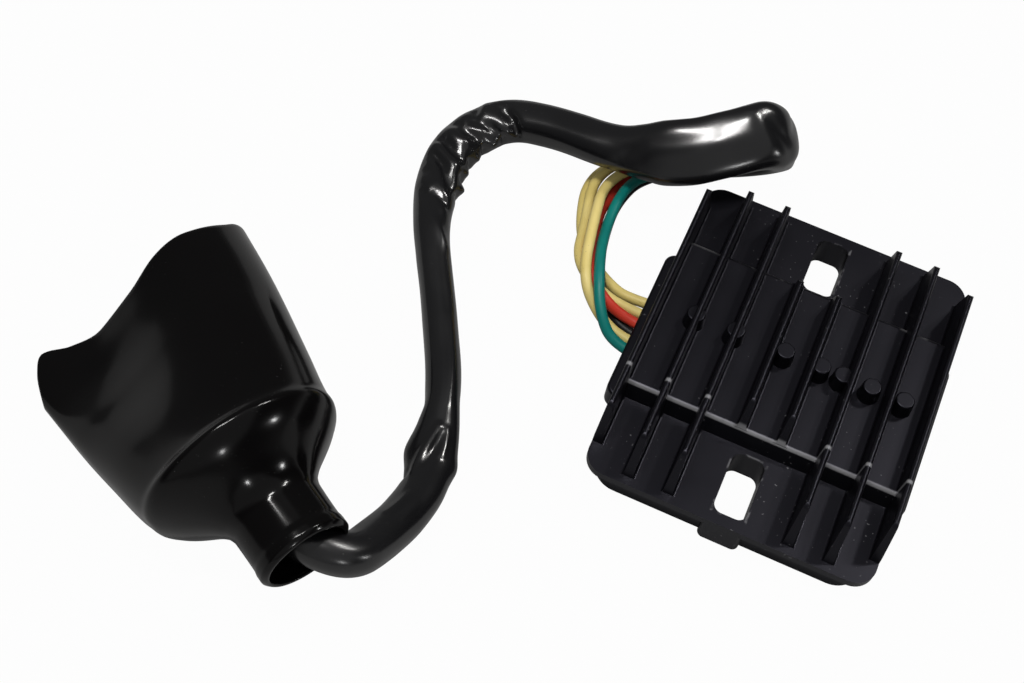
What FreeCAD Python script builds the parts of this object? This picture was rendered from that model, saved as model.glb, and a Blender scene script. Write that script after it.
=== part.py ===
# Voltage regulator rectifier of a small engine: a finned casting with its
# electronics potted in the underside, six leads in a loose sleeve, and a
# plug under a dip-moulded boot. Millimetres, +Z up. The origin is the centre
# of the casting's underside, X runs across the fins and Y along them.
import FreeCAD, Part
import math
import os

os.makedirs("parts", exist_ok=True)
V = FreeCAD.Vector
up = V(0, 0, 1)

# Casting
fin_pitch = 8.5
fin_count = 8
fin_tip = 1.25
fin_draft_deg = 2.0
fin_root_fillet = 0.6
fin_end_round = 1.5
long_fin_inset, long_fin_run = 1.8, 4.2
edge_fin_inset, edge_fin_run = 6.2, 3.5
short_fin_run = 3.2
flange_top = 7.8
flange_thick = 1.9
zone_rise = 4.2
crest_rise = 10.6
plate_length = 78.2
plate_corner = 4.7
plate_margin = 0.95
skirt_setback = 1.6
skirt_corner = 6.0
skirt_wall = 2.0
zone_slot_gap, zone_step_run = 1.575, 1.4
zone_edge_round = 1.0
zone_skin = 2.0
ledge_reach = 2.2
ledge_past_zone = 0.4
ledge_height = 5.0
ledge_corner = 2.5
ledge_round = 0.7
ledge_wall = 2.0
ledge_skin = 0.8
slot_width = 7.0
slot_length = 14.3
slot_end_wall = 2.625
slot_corner = 2.0
boss_wall = 0.9
boss_round = 1.4
stud_top, stud_root = 3.9, 4.6
stud_height = 3.8
stud_round = 0.35
stud_places = [-21.6, -12.8, -1.8, 6.1, 10.9, 17.1, 24.2]

# Electronics, from the casting's ceiling down
pad_thick = 0.3
pad_margin = 1.0
package_width = 10.2
package_clear = 1.9
tab_long = 4.0
body_thick, tab_thick = 4.4, 1.3
tab_hole = 2.6
package_step = 16.0
row_gap = 6.2
leg_width, leg_thick, leg_pitch = 0.8, 0.5, 2.54
leg_reach = 1.6
leg_drop = 2.4
leg_end_gap = 0.5
board_thick = 1.2
board_margin = 0.4
front_row_inset, back_row_inset = 7.5, 6.0
sense_x, zener_x, transistor_x, capacitor_x = -8.0, 2.0, 12.0, 20.5
potting_recess = 0.5
resistor_od, resistor_long = 2.3, 6.3
zener_od, zener_long = 2.6, 5.0
capacitor_size = (7.2, 5.2, 2.6)
transistor_width, transistor_flat = 4.6, 3.1
wire_leg_od = 0.7
leg_overhang = 1.6
core_od = 1.4
core_long = 2.6

# Leads and sleeve
lead_od = 2.4
window_clear = 0.4
sleeve_od = 9.0
sleeve_wall = 0.5
mouth_depth = 3.8
lead_ring = 2.72
lead_straight = 5.4
bend_share = 0.45

# Plug: a block of two rows of three cavities
plug_rows, plug_columns = 2, 3
cavity_wide, cavity_high = 5.4, 3.8
cavity_pitch_wide, cavity_pitch_high = 6.6, 6.6
plug_wall = 1.2
plug_long = 20.0
plug_back = 30.0
plug_side = -1.5
plug_low = 3.95
plug_round = 0.8
plug_floor = 2.0
lead_hole_clear = 0.3
latch_wide, latch_long, latch_thick = 6.0, 13.0, 1.2
latch_gap, latch_foot, latch_tooth = 1.6, 3.0, 0.8
terminal_wide, terminal_high, terminal_sheet = 5.0, 2.6, 0.4
terminal_slit = 1.6
terminal_long, terminal_inset = 7.5, 1.2
crimp_long, crimp_wall = 5.0, 0.3
terminal_clear = 0.1

# Boot: it lies on its side, from the open neck to the wide mouth
boot_x, boot_y = -68.3, -84.2
boot_heading_deg = 150.0
boot_wall = 1.0
boot_points = 28
# along, middle, half width, lowest, height, left droop, flat bottom
boot_sections = [
    (0.0, 0.0, 9.5, 10.1, 18.8, 0.0, 0.0),
    (1.5, 0.0, 9.3, 10.2, 18.6, 0.0, 0.0),
    (11.0, 0.0, 9.5, 10.0, 19.0, 0.0, 0.0),
    (13.2, 0.0, 10.9, 8.6, 21.8, 0.0, 0.0),
    (19.2, -0.1, 18.6, 0.7, 37.5, 0.0, 0.0),
    (20.8, -0.1, 20.0, 0.0, 39.2, 0.0, 0.1),
    (24.0, -0.1, 20.5, 0.0, 39.0, 0.05, 0.2),
    (34.0, -0.6, 22.1, 0.0, 38.0, 0.2, 0.4),
    (46.0, -1.4, 23.7, 0.0, 37.0, 0.42, 0.5),
    (57.0, -2.1, 24.8, 0.0, 36.0, 0.58, 0.6),
    (72.0, -2.6, 26.2, 0.0, 35.0, 0.66, 0.6),
]
# How far the rim of the mouth reaches along the boot, across from right to left
boot_rim = [(-30.0, 66.0), (-26.0, 65.7), (-22.0, 64.4), (-17.0, 64.0), (-11.0, 63.5), (-6.0, 63.0),
            (0.0, 61.9), (7.0, 62.1), (13.0, 65.2), (18.0, 68.1), (20.5, 65.2), (24.0, 56.0)]

# Routes, chosen by hand: each lead from the potting towards the sleeve's
# mouth, after the angle at which it lies in the mouth
lead_routes = {
    "yellow_lead_1": (185, [
        (-27.6, 6.8, 2.4), (-36.6, 5.9, 1.9), (-41.5, 7.6, 1.2),
        (-48.8, 12.3, 1.2), (-53.8, 19.3, 1.4), (-57.3, 33.5, 1.1)]),
    "yellow_lead_2": (125, [
        (-27.6, 3.2, 2.4), (-35.0, 2.7, 2.8), (-41.8, 2.7, 4.2),
        (-50.6, 8.3, 4.1), (-52.4, 18.5, 3.9), (-55.9, 32.7, 3.2)]),
    "yellow_lead_3": (65, [
        (-27.6, -4.5, 2.5), (-33.8, -4.7, 2.4), (-40.7, -2.6, 3.9),
        (-47.2, 2.2, 8.6), (-50.4, 16.6, 9.3), (-52.8, 31.4, 3.9)]),
    "red_lead": (245, [
        (-27.6, -0.1, 2.7), (-35.3, 0.0, 2.9), (-42.0, 0.9, 6.3),
        (-47.4, 6.7, 7.0), (-49.7, 16.4, 4.5), (-51.4, 28.8, 0.8)]),
    "black_lead": (305, [
        (-27.6, -2.2, 1.5), (-34.6, -2.3, 1.3), (-41.9, 3.3, 1.2),
        (-45.7, 9.7, 4.4), (-47.8, 19.3, 2.2), (-48.5, 28.3, 2.3)]),
    "green_lead": (5, [
        (-27.6, -7.3, 2.6), (-35.5, -7.2, 3.0), (-40.6, -3.6, 7.0),
        (-44.6, 4.7, 10.0), (-47.6, 16.6, 6.0), (-48.1, 29.2, 6.3)]),
}
# The sleeve from its mouth by the casting, over the fold and the crinkled
# bend, to its end inside the boot
sleeve_route = [
    (-42.0, 42.6, 4.6), (-36.2, 46.6, 4.6), (-28.2, 53.6, 4.6), (-20.2, 53.4, 12.5),
    (-21.6, 46.2, 20.6), (-32.2, 39.3, 19.5), (-42.1, 35.9, 16.6), (-53.8, 34.4, 12.2),
    (-66.5, 35.8, 9.8), (-78.4, 35.2, 7.1), (-85.6, 27.2, 4.8), (-86.7, 16.0, 4.6),
    (-83.4, 4.4, 4.6), (-77.5, -7.6, 4.6), (-70.9, -19.6, 4.6), (-65.0, -31.0, 4.6),
    (-61.0, -42.2, 4.6), (-56.9, -52.6, 4.6), (-54.2, -62.8, 6.6), (-53.4, -74.3, 11.3),
    (-59.6, -82.7, 16.9), (-76.6, -81.0, 19.1), (-85.0, -76.3, 17.5),
]

# Worked out from the above
plate_half = (fin_count - 1) * fin_pitch / 2 + plate_margin
plate_end = plate_length / 2
slot_spacing = plate_length - 2 * slot_end_wall - slot_length
slot_in = (slot_spacing - slot_length) / 2
zone_foot_half = slot_in - zone_slot_gap
zone_half = zone_foot_half - zone_step_run
ledge_half = zone_half + ledge_past_zone
long_fin_half, edge_fin_half, short_fin_half = plate_end - long_fin_inset, plate_end - edge_fin_inset, zone_half
long_crest_half, edge_crest_half = long_fin_half - long_fin_run, edge_fin_half - edge_fin_run
short_crest_half = short_fin_half - short_fin_run
crest_z = flange_top + crest_rise
zone_z = flange_top + zone_rise
ceiling_z = zone_z - zone_skin
flange_under = flange_top - flange_thick
skirt_half, skirt_end = plate_half - skirt_setback, plate_end - skirt_setback
tray_half, tray_end = skirt_half - skirt_wall, skirt_end - skirt_wall
pocket_end = zone_half - skirt_wall + 0.2
ledge_out = plate_half + ledge_reach
boss_half = slot_width / 2 + boss_wall
body_long = pocket_end - package_clear - tab_long - row_gap / 2
pad_low = ceiling_z - pad_thick
board_top = pad_low - body_thick
board_low = board_top - board_thick
board_half, board_end = tray_half - board_margin, pocket_end - board_margin
front_row, back_row = board_end - front_row_inset, board_end - back_row_inset
legs_down = board_low - leg_end_gap
lead_r, sleeve_r = lead_od / 2, sleeve_od / 2
plug_wide = plug_columns * cavity_pitch_wide + plug_wall - (cavity_pitch_wide - cavity_wide) / 2
plug_high = plug_rows * cavity_pitch_high


def block(x0, x1, y0, y1, z0, z1):
    return Part.makeBox(x1 - x0, y1 - y0, z1 - z0, V(x0, y0, z0))


def rounded_block(half_x, half_y, radius, z0, z1, x=0.0, y=0.0):
    """Upright prism on a rectangle with round corners."""
    solid = block(x - half_x, x + half_x, y - half_y, y + half_y, z0, z1)
    upright = [e for e in solid.Edges if abs(e.tangentAt(e.FirstParameter).z) > 0.99]
    return solid.makeFillet(radius, upright)


def cylinder(start, end, radius):
    return Part.makeCylinder(radius, (end - start).Length, start, end - start)


def face_of(points):
    return Part.Face(Part.makePolygon(points + [points[0]]))


def edges_where(shape, wanted):
    return [e for e in shape.Edges if wanted(e.CenterOfMass, e)]


def save(name, shape):
    shape.exportStep("parts/" + name + ".step")
    print(name, "valid", shape.isValid(), "solids", len(shape.Solids), "volume", round(shape.Volume, 2))


# Fins

def fin_half_at(z):
    return fin_tip / 2 + (crest_z - z) * math.tan(math.radians(fin_draft_deg))


def fin_section(x, root_z):
    """Section across a fin: drafted sides, a full round tip and a fillet at the root."""
    tip = fin_tip / 2
    shoulder = crest_z - tip
    root, fillet = fin_half_at(root_z), fin_root_fillet
    low = root_z - fillet
    turn = fillet * (1 - math.sqrt(0.5))

    def arc(a, b, c):
        return Part.Arc(V(*a), V(*b), V(*c)).toShape()

    def line(a, b):
        return Part.LineSegment(V(*a), V(*b)).toShape()

    left = [(x - root - fillet, 0, low), (x - root - fillet, 0, root_z),
            (x - root - turn, 0, root_z + turn), (x - root, 0, root_z + fillet), (x - tip, 0, shoulder)]
    right = [(2 * x - p[0], 0, p[2]) for p in left]
    edges = [
        line(left[0], left[1]), arc(left[1], left[2], left[3]), line(left[3], left[4]),
        arc(left[4], (x, 0, crest_z), right[4]), line(right[4], right[3]),
        arc(right[3], right[2], right[1]), line(right[1], right[0]), line(right[0], left[0]),
    ]
    return Part.Face(Part.Wire(edges))


def fin_side(root_half, crest_half, root_z):
    """Outline of a fin from the side, as a prism across the whole casting."""
    slope = (root_half - crest_half) / (crest_z - root_z)
    low = root_z - fin_root_fillet
    low_half = root_half + slope * fin_root_fillet
    points = [V(-plate_half, y, z) for y, z in (
        (-low_half, low), (low_half, low), (crest_half, crest_z), (-crest_half, crest_z))]
    prism = face_of(points).extrude(V(2 * plate_half, 0, 0))
    kinks = edges_where(prism, lambda c, e: abs(c.z - crest_z) < 1e-6 and abs(abs(c.y) - crest_half) < 1e-6)
    return prism.makeFillet(fin_end_round, kinks)


def fin_run(x, root_z, half):
    return fin_section(x, root_z).translated(V(0, -half, 0)).extrude(V(0, 2 * half, 0))


def fins():
    made = []
    for i in range(fin_count):
        x = (i - (fin_count - 1) / 2) * fin_pitch
        edge = i in (0, fin_count - 1)
        short = i in (fin_count // 2 - 1, fin_count // 2)
        if short:
            made.append(fin_run(x, zone_z, short_fin_half).common(
                fin_side(short_fin_half, short_crest_half, zone_z)))
            continue
        root, crest = (edge_fin_half, edge_crest_half) if edge else (long_fin_half, long_crest_half)
        side = fin_side(root, crest, flange_top)
        made.append(fin_run(x, flange_top, root + 1).common(side))
        made.append(fin_run(x, zone_z, zone_half - zone_edge_round).common(side))
    return made


# Casting

def zone():
    """The raised middle, with drafted steps and a rounded upper edge."""
    points = [V(-plate_half, y, z) for y, z in (
        (-zone_foot_half, flange_top - 0.5), (-zone_foot_half, flange_top), (-zone_half, zone_z),
        (zone_half, zone_z), (zone_foot_half, flange_top), (zone_foot_half, flange_top - 0.5))]
    prism = face_of(points).extrude(V(2 * plate_half, 0, 0))
    lips = edges_where(prism, lambda c, e: abs(c.z - zone_z) < 1e-6 and abs(abs(c.y) - zone_half) < 1e-6)
    return prism.makeFillet(zone_edge_round, lips)


def ledges():
    """The middle of the casting, a little wider than the flanges."""
    solid = rounded_block(ledge_out, ledge_half, ledge_corner, 0, ledge_height)
    rim = edges_where(solid, lambda c, e: abs(c.z - ledge_height) < 1e-6)
    return solid.makeFillet(ledge_round, rim)


def slot(sign, grow=0.0, z0=-1.0, z1=None):
    return rounded_block(slot_width / 2 + grow, slot_length / 2 + grow, slot_corner + grow,
                         z0, crest_z if z1 is None else z1, 0, sign * slot_spacing / 2)


def boss(sign):
    """Pad under a slot, flush with the end of the plate."""
    near, far = slot_in - boss_wall, plate_end
    solid = block(-boss_half, boss_half, near, far, 0, flange_under)
    corners = edges_where(solid, lambda c, e: abs(c.y - far) < 1e-6 and abs(abs(c.x) - boss_half) < 1e-6)
    solid = solid.makeFillet(boss_round, corners)
    return solid if sign > 0 else solid.mirror(V(0, 0, 0), V(0, 1, 0))


def stud(x):
    cone = Part.makeCone(stud_root / 2, stud_top / 2, stud_height, V(x, 0, zone_z), up)
    rim = edges_where(cone, lambda c, e: abs(c.z - zone_z - stud_height) < 1e-6)
    return cone.makeFillet(stud_round, rim).fuse(
        Part.makeCylinder(stud_root / 2, 0.5, V(x, 0, zone_z - 0.5), up))


def tray():
    """The hollow underside, open below, that the potting fills."""
    ends = rounded_block(tray_half, tray_end, skirt_corner - skirt_wall, -1, flange_under)
    pocket = block(-tray_half, tray_half, -pocket_end, pocket_end, -1, ceiling_z)
    sides = block(-ledge_out + ledge_wall, ledge_out - ledge_wall, -ledge_half + ledge_wall,
                  ledge_half - ledge_wall, -1, ledge_height - ledge_skin)
    return ends.fuse([pocket, sides])


def window():
    """Where the leads leave through the side of the casting."""
    ys = [points[0][1] for angle, points in lead_routes.values()]
    reach = lead_r + window_clear
    return block(-ledge_out - 1, -ledge_out + ledge_wall, min(ys) - reach, max(ys) + reach,
                 -1, ledge_height - ledge_skin)


def casting():
    outer = rounded_block(plate_half, plate_end, plate_corner, flange_under, flange_top)
    outer = outer.fuse([rounded_block(skirt_half, skirt_end, skirt_corner, 0, flange_under), zone(), ledges()])
    body = outer.fuse(fins() + [stud(x) for x in stud_places]).cut(tray())
    body = body.fuse([boss(-1), boss(1)]).cut([slot(-1), slot(1), window()])
    return body.removeSplitter()


# Electronics

def package(x, sign, legs):
    """Power package with its tab up against the pad, legs towards the middle."""
    inner = row_gap / 2
    half = package_width / 2
    body = block(x - half, x + half, inner, inner + body_long, board_top, pad_low)
    sides = edges_where(body, lambda c, e: abs(c.z - board_top) < 1e-6)
    body = body.makeChamfer(0.5, sides)
    tab = block(x - half, x + half, inner + body_long, inner + body_long + tab_long,
                pad_low - tab_thick, pad_low)
    hole = Part.makeCylinder(tab_hole / 2, tab_thick + 2,
                             V(x, inner + body_long + tab_long / 2, pad_low - tab_thick - 1), up)
    solid = body.fuse(tab.cut(hole))
    for i in range(legs):
        leg_x = x + (i - (legs - 1) / 2) * leg_pitch * (2 / (legs - 1))
        z = pad_low - leg_drop
        solid = solid.fuse(block(leg_x - leg_width / 2, leg_x + leg_width / 2,
                                 inner - leg_reach, inner, z - leg_thick, z))
        solid = solid.fuse(block(leg_x - leg_width / 2, leg_x + leg_width / 2, inner - leg_reach,
                                 inner - leg_reach + leg_thick, legs_down, z))
    return solid if sign > 0 else solid.mirror(V(0, 0, 0), V(0, 1, 0))


def axial(x, y, od, long, along_x):
    """Resistor or diode under the board, its wires bent up into it."""
    z = board_low - od / 2
    way = V(1, 0, 0) if along_x else V(0, 1, 0)
    middle = V(x, y, z)
    solid = cylinder(middle - way * (long / 2), middle + way * (long / 2), od / 2)
    solid = solid.makeFillet(0.3, edges_where(solid, lambda c, e: e.Closed))
    out, rise = way * (long / 2 + leg_overhang), up * (board_top - z)
    wire = pipe([middle - out + rise, middle - out, middle + out, middle + out + rise], wire_leg_od / 2)[0]
    return solid.fuse(wire).removeSplitter()


def transistor(x, y):
    """Small signal transistor, flat side against the board."""
    r = transistor_width / 2
    low = board_low - transistor_flat
    round_body = Part.makeCylinder(r, transistor_width, V(x, y - transistor_width / 2, low + r), V(0, 1, 0))
    solid = round_body.common(block(x - r, x + r, y - r, y + r, low, board_low))
    for i in (-1, 0, 1):
        leg_x = x + i * 1.27
        z = board_low - transistor_flat / 2
        solid = solid.fuse(block(leg_x - 0.2, leg_x + 0.2, y - r - 1.4, y - r, z - 0.2, z + 0.2))
        solid = solid.fuse(block(leg_x - 0.2, leg_x + 0.2, y - r - 1.4, y - r - 1.0, z, board_top))
    return solid


def capacitor(x, y):
    wide, deep, high = capacitor_size
    solid = block(x - wide / 2, x + wide / 2, y - deep / 2, y + deep / 2, board_low - high, board_low)
    solid = solid.makeFillet(0.5, edges_where(solid, lambda c, e: c.z < board_low - 0.1))
    for side in (-1, 1):
        solid = solid.fuse(Part.makeCylinder(wire_leg_od / 2, board_thick,
                                             V(x + side * wide / 3, y, board_low), up))
    return solid


def soldered_core(route):
    """Bare end of a lead, turned up to the board."""
    start = V(*route[0])
    way = start - V(*route[1])
    way.normalize()
    post_r = core_od / 2 - 0.1
    foot = start + way * (core_long - core_od / 2)
    post = Part.makeCylinder(post_r, board_low - foot.z, foot, up)
    return cylinder(start, start + way * core_long, core_od / 2).fuse(post)


# Cords

def path_of(points):
    """Straight runs joined by tangent arcs as large as the runs allow."""
    p = [V(*q) for q in points]
    edges, radii, start = [], [], p[0]
    for a, b, c in zip(p, p[1:], p[2:]):
        before, after = (a - b), (c - b)
        reach = bend_share * min(before.Length, after.Length)
        half_turn = (math.pi - before.getAngle(after)) / 2
        before.normalize()
        after.normalize()
        middle = before + after
        middle.normalize()
        radius = reach / math.tan(half_turn)
        centre = b + middle * math.hypot(radius, reach)
        arc_in, arc_out = b + before * reach, b + after * reach
        edges.append(Part.LineSegment(start, arc_in).toShape())
        edges.append(Part.Arc(arc_in, centre - middle * radius, arc_out).toShape())
        radii.append(round(radius, 1))
        start = arc_out
    edges.append(Part.LineSegment(start, p[-1]).toShape())
    return Part.Wire(edges), radii


def mouth_frame(end, inner):
    """A sleeve end's centre, its direction into the sleeve, and its right and upper sides."""
    way = V(*inner) - V(*end)
    way.normalize()
    right = way.cross(up)
    right.normalize()
    return V(*end), way, right, right.cross(way)


def lead_route(angle, points):
    centre, way, right, lift = mouth_frame(sleeve_route[0], sleeve_route[1])
    turn = math.radians(angle)
    off = right * (lead_ring * math.cos(turn)) + lift * (lead_ring * math.sin(turn))
    return points + [tuple(centre - way * lead_straight + off), tuple(centre + way * mouth_depth + off)]


def pipe(points, radius):
    path, radii = path_of(points)
    start = V(*points[0])
    ring = Part.Wire(Part.Circle(start, V(*points[1]) - start, radius).toShape())
    return path.makePipeShell([ring], True, False), path, radii


def cord(name, points, radius):
    solid, path, radii = pipe(points, radius)
    print(name, "length", round(path.Length, 1), "radii", radii, "volume over section times length",
          round(solid.Volume / (math.pi * radius ** 2 * path.Length), 4))
    return solid


def sleeve():
    """Outer form of the sleeve, with an open mouth at each end for the leads."""
    solid = cord("wire_sleeve", sleeve_route, sleeve_r)
    bore = sleeve_r - sleeve_wall
    for end, inner in ((sleeve_route[0], sleeve_route[1]), (sleeve_route[-1], sleeve_route[-2])):
        centre, way, right, lift = mouth_frame(end, inner)
        solid = solid.cut(Part.makeCylinder(bore, mouth_depth + 1, centre - way, way))
    return solid


# Plug and boot, in the boot's own frame: X from the neck to the mouth

def placed(shape):
    shape = shape.copy()
    shape.rotate(V(0, 0, 0), up, boot_heading_deg)
    shape.translate(V(boot_x, boot_y, 0))
    return shape


def boot_local(point):
    turned = V(*point) - V(boot_x, boot_y, 0)
    return FreeCAD.Rotation(up, -boot_heading_deg).multVec(turned)


def smooth(low, high, value):
    t = min(1.0, max(0.0, (value - low) / (high - low)))
    return t * t * (3 - 2 * t)


def boot_ring(section, inset):
    """Closed curve across the boot: round, with a flat bottom and a drooping left."""
    along, middle, half, lowest, height, droop, flat = section
    points = []
    for i in range(boot_points):
        angle = 2 * math.pi * i / boot_points
        across, rise = math.cos(angle), math.sin(angle)
        if rise < 0:
            rise = -abs(rise) ** (1 - 0.5 * flat)
        left = smooth(-0.45, 0.75, across)
        tall = (height - 2 * inset) * (1 - droop * left)
        points.append(V(along, middle + (half - inset) * across, lowest + inset + tall * (1 + rise) / 2))
    curve = Part.BSplineCurve()
    curve.interpolate(points, PeriodicFlag=True)
    return Part.Wire(curve.toShape())


def boot():
    def shell(inset, extend):
        rings = [boot_ring(s, inset) for s in boot_sections]
        if extend:
            first, last = boot_sections[0], boot_sections[-1]
            rings.insert(0, boot_ring((first[0] - 1,) + first[1:], inset))
            rings.append(boot_ring((last[0] + 1,) + last[1:], inset))
        return Part.makeLoft(rings, True, True)

    wall = shell(0.0, False).cut(shell(boot_wall, True))
    rim = Part.BSplineCurve()
    floor, beyond = -1.0, boot_sections[-1][0] + 10
    tallest = max(lowest + height for along, middle, half, lowest, height, droop, flat in boot_sections)
    rim.interpolate([V(along, across, floor) for across, along in boot_rim])
    right, left = V(beyond, boot_rim[0][0], floor), V(beyond, boot_rim[-1][0], floor)
    edges = [rim.toShape(), Part.LineSegment(rim.EndPoint, left).toShape(),
             Part.LineSegment(left, right).toShape(), Part.LineSegment(right, rim.StartPoint).toShape()]
    return wall.cut(Part.Face(Part.Wire(edges)).extrude(up * (tallest - 2 * floor)))


def cavity_places():
    for row in range(plug_rows):
        for column in range(plug_columns):
            yield (plug_side + (column - (plug_columns - 1) / 2) * cavity_pitch_wide,
                   plug_low + (row + 0.5) * cavity_pitch_high)


def plug_housing():
    front = plug_back + plug_long
    half = plug_wide / 2
    solid = block(plug_back, front, plug_side - half, plug_side + half, plug_low, plug_low + plug_high)
    solid = solid.makeFillet(plug_round, edges_where(
        solid, lambda c, e: abs(c.x - plug_back - plug_long / 2) < 1e-6))
    for y, z in cavity_places():
        solid = solid.cut(block(plug_back + plug_floor, front + 1, y - cavity_wide / 2, y + cavity_wide / 2,
                                z - cavity_high / 2, z + cavity_high / 2))
        solid = solid.cut(Part.makeCylinder(lead_r + lead_hole_clear, plug_floor + 2,
                                            V(plug_back - 1, y, z), V(1, 0, 0)))
    top = plug_low + plug_high
    arm_low = top + latch_gap
    start = plug_back + latch_foot
    profile = [V(x, 0, z) for x, z in (
        (start, top - 0.5), (start, arm_low + latch_thick), (start + latch_long, arm_low + latch_thick),
        (start + latch_long, arm_low), (start + latch_long * 0.55, arm_low),
        (start + latch_long * 0.55, arm_low - latch_tooth), (start + latch_long * 0.4, arm_low),
        (start + latch_foot, arm_low), (start + latch_foot, top - 0.5))]
    arm = face_of(profile).extrude(V(0, latch_wide, 0)).translated(V(0, plug_side - latch_wide / 2, 0))
    return solid.fuse(arm)


def terminal(y, z):
    """Flat receptacle with rolled sides, and the barrel that grips its lead."""
    start = plug_back + plug_floor + crimp_long + terminal_inset
    half, sheet = terminal_wide / 2, terminal_sheet
    low = z - cavity_high / 2 + terminal_clear
    tube = block(start, start + terminal_long, y - half, y + half, low, low + terminal_high)
    tube = tube.makeFillet(terminal_high / 2 - 0.05, edges_where(
        tube, lambda c, e: abs(c.x - start - terminal_long / 2) < 1e-6))
    inner = block(start - 1, start + terminal_long + 1, y - half + sheet, y + half - sheet,
                  low + sheet, low + terminal_high - sheet)
    tube = tube.cut(inner).cut(block(start - 1, start + terminal_long + 1, y - terminal_slit / 2,
                                     y + terminal_slit / 2, low + terminal_high / 2, low + terminal_high + 1))
    base = V(plug_back + plug_floor + 0.5, y, z)
    barrel = Part.makeCylinder(lead_r + crimp_wall, crimp_long, base, V(1, 0, 0))
    barrel = barrel.cut(Part.makeCylinder(lead_r, crimp_long - 1.0, base, V(1, 0, 0)))
    neck = block(base.x + crimp_long - 0.6, start + 1.0, y - 1.2, y + 1.2, low, low + sheet)
    riser = block(base.x + crimp_long - 0.6, base.x + crimp_long, y - 1.2, y + 1.2, low, z)
    return tube.fuse([barrel, neck, riser]).removeSplitter()


def lead_ends():
    """The six leads between the sleeve's inner end and their terminals."""
    centre, way, right, lift = mouth_frame(boot_local(sleeve_route[-1]), boot_local(sleeve_route[-2]))
    made = []
    for number, (y, z) in enumerate(cavity_places()):
        row, column = divmod(number, plug_columns)
        angle = math.radians((30, 90, 150)[column] if row else (-30, -90, -150)[column])
        off = right * (-lead_ring * math.cos(angle)) + lift * (lead_ring * math.sin(angle))
        seat = centre + way * mouth_depth + off
        mouth = centre - way * 0.6 + off
        entry = V(plug_back - 0.6, y, z)
        crimp = V(plug_back + plug_floor + crimp_long - 0.5, y, z)
        made.append(cylinder(seat, mouth, lead_r).fuse([
            cylinder(mouth, entry, lead_r), cylinder(entry, crimp, lead_r),
            Part.makeSphere(lead_r, mouth), Part.makeSphere(lead_r, entry)]))
    return made


# Build, cut the potting round what it covers, and save

heatsink = casting()
save("heatsink_casting", heatsink)
inside = {"thermal_pad": block(-tray_half + pad_margin, tray_half - pad_margin, -pocket_end + pad_margin,
                               pocket_end - pad_margin, pad_low, ceiling_z)}
for i in range(3):
    x = (i - 1) * package_step
    inside["thyristor_" + str(i + 1)] = package(x, 1, 3)
    inside["rectifier_diode_" + str(i + 1)] = package(x, -1, 2)
for i in range(3):
    inside["gate_resistor_" + str(i + 1)] = axial((i - 1) * package_step, front_row, resistor_od, resistor_long, True)
inside["sense_resistor"] = axial(sense_x, -back_row, resistor_od, resistor_long, False)
inside["zener_diode"] = axial(zener_x, -back_row, zener_od, zener_long, False)
inside["control_transistor"] = transistor(transistor_x, -front_row)
inside["film_capacitor"] = capacitor(capacitor_x, -front_row)
board = block(-board_half, board_half, -board_end, board_end, board_low, board_top)
board = board.cut(list(inside.values()))
inside["circuit_board"] = board
routes = {name: lead_route(*spec) for name, spec in lead_routes.items()}
leads = {name: cord(name, route, lead_r) for name, route in routes.items()}
cores = [soldered_core(route) for route in routes.values()]
inside["soldered_conductors"] = Part.makeCompound(cores)

fill = tray().common(block(-ledge_out, ledge_out, -plate_end, plate_end, potting_recess, crest_z))
fill = fill.fuse(window().common(block(-ledge_out + 0.3, 0, -plate_end, plate_end, potting_recess, crest_z)))
fill = fill.cut([boss(-1), boss(1)])
fill = fill.cut([s for shape in inside.values() for s in shape.Solids] + list(leads.values()))
save("potting_compound", fill)
for name, shape in list(inside.items()) + list(leads.items()):
    save(name, shape)

save("wire_sleeve", sleeve())
save("connector_boot", placed(boot()))
save("connector_housing", placed(plug_housing()))
for number, (y, z) in enumerate(cavity_places()):
    save("terminal_" + str(number + 1), placed(terminal(y, z)))
save("lead_ends", Part.makeCompound([placed(s) for s in lead_ends()]))
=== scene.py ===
import math
from bisect import bisect_right

import bmesh
import bpy
from mathutils import Matrix, Vector, noise


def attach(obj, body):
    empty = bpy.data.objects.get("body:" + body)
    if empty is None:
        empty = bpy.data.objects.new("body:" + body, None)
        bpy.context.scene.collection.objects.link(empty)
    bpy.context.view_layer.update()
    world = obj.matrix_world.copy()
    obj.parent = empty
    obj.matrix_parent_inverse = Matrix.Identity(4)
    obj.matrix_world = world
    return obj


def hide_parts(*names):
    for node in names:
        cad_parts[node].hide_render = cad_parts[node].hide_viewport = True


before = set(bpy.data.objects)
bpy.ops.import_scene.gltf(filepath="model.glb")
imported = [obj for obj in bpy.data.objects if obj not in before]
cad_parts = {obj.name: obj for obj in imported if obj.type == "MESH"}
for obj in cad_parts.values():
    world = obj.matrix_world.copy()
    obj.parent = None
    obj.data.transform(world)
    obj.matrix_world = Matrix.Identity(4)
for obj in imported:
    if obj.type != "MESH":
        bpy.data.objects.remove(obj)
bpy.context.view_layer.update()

scene = bpy.context.scene
scene.view_settings.view_transform = "Standard"
mm = 0.001

# Camera, from the edges of the casting in the photograph

camera = {
    "place": (-0.01413, -0.18299, 0.28667),
    "right": (0.9130959, 0.39515865, 0.10052616),
    "up": (-0.38858899, 0.76865812, 0.50809771),
    "lens": 55.14, "sensor": 36.0, "nearest": 0.01,
}


def makeCamera():
    data = bpy.data.cameras.new("camera")
    data.sensor_width = camera["sensor"]
    data.lens = camera["lens"]
    data.clip_start = camera["nearest"]
    viewer = bpy.data.objects.new("camera", data)
    scene.collection.objects.link(viewer)
    right, up = Vector(camera["right"]).normalized(), Vector(camera["up"]).normalized()
    back = right.cross(up)
    turn = Matrix((right, up, back)).transposed().to_4x4()
    viewer.matrix_world = Matrix.Translation(camera["place"]) @ turn
    scene.camera = viewer


makeCamera()


# Shader sums: a Wire is a socket that takes part in Python arithmetic


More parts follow.
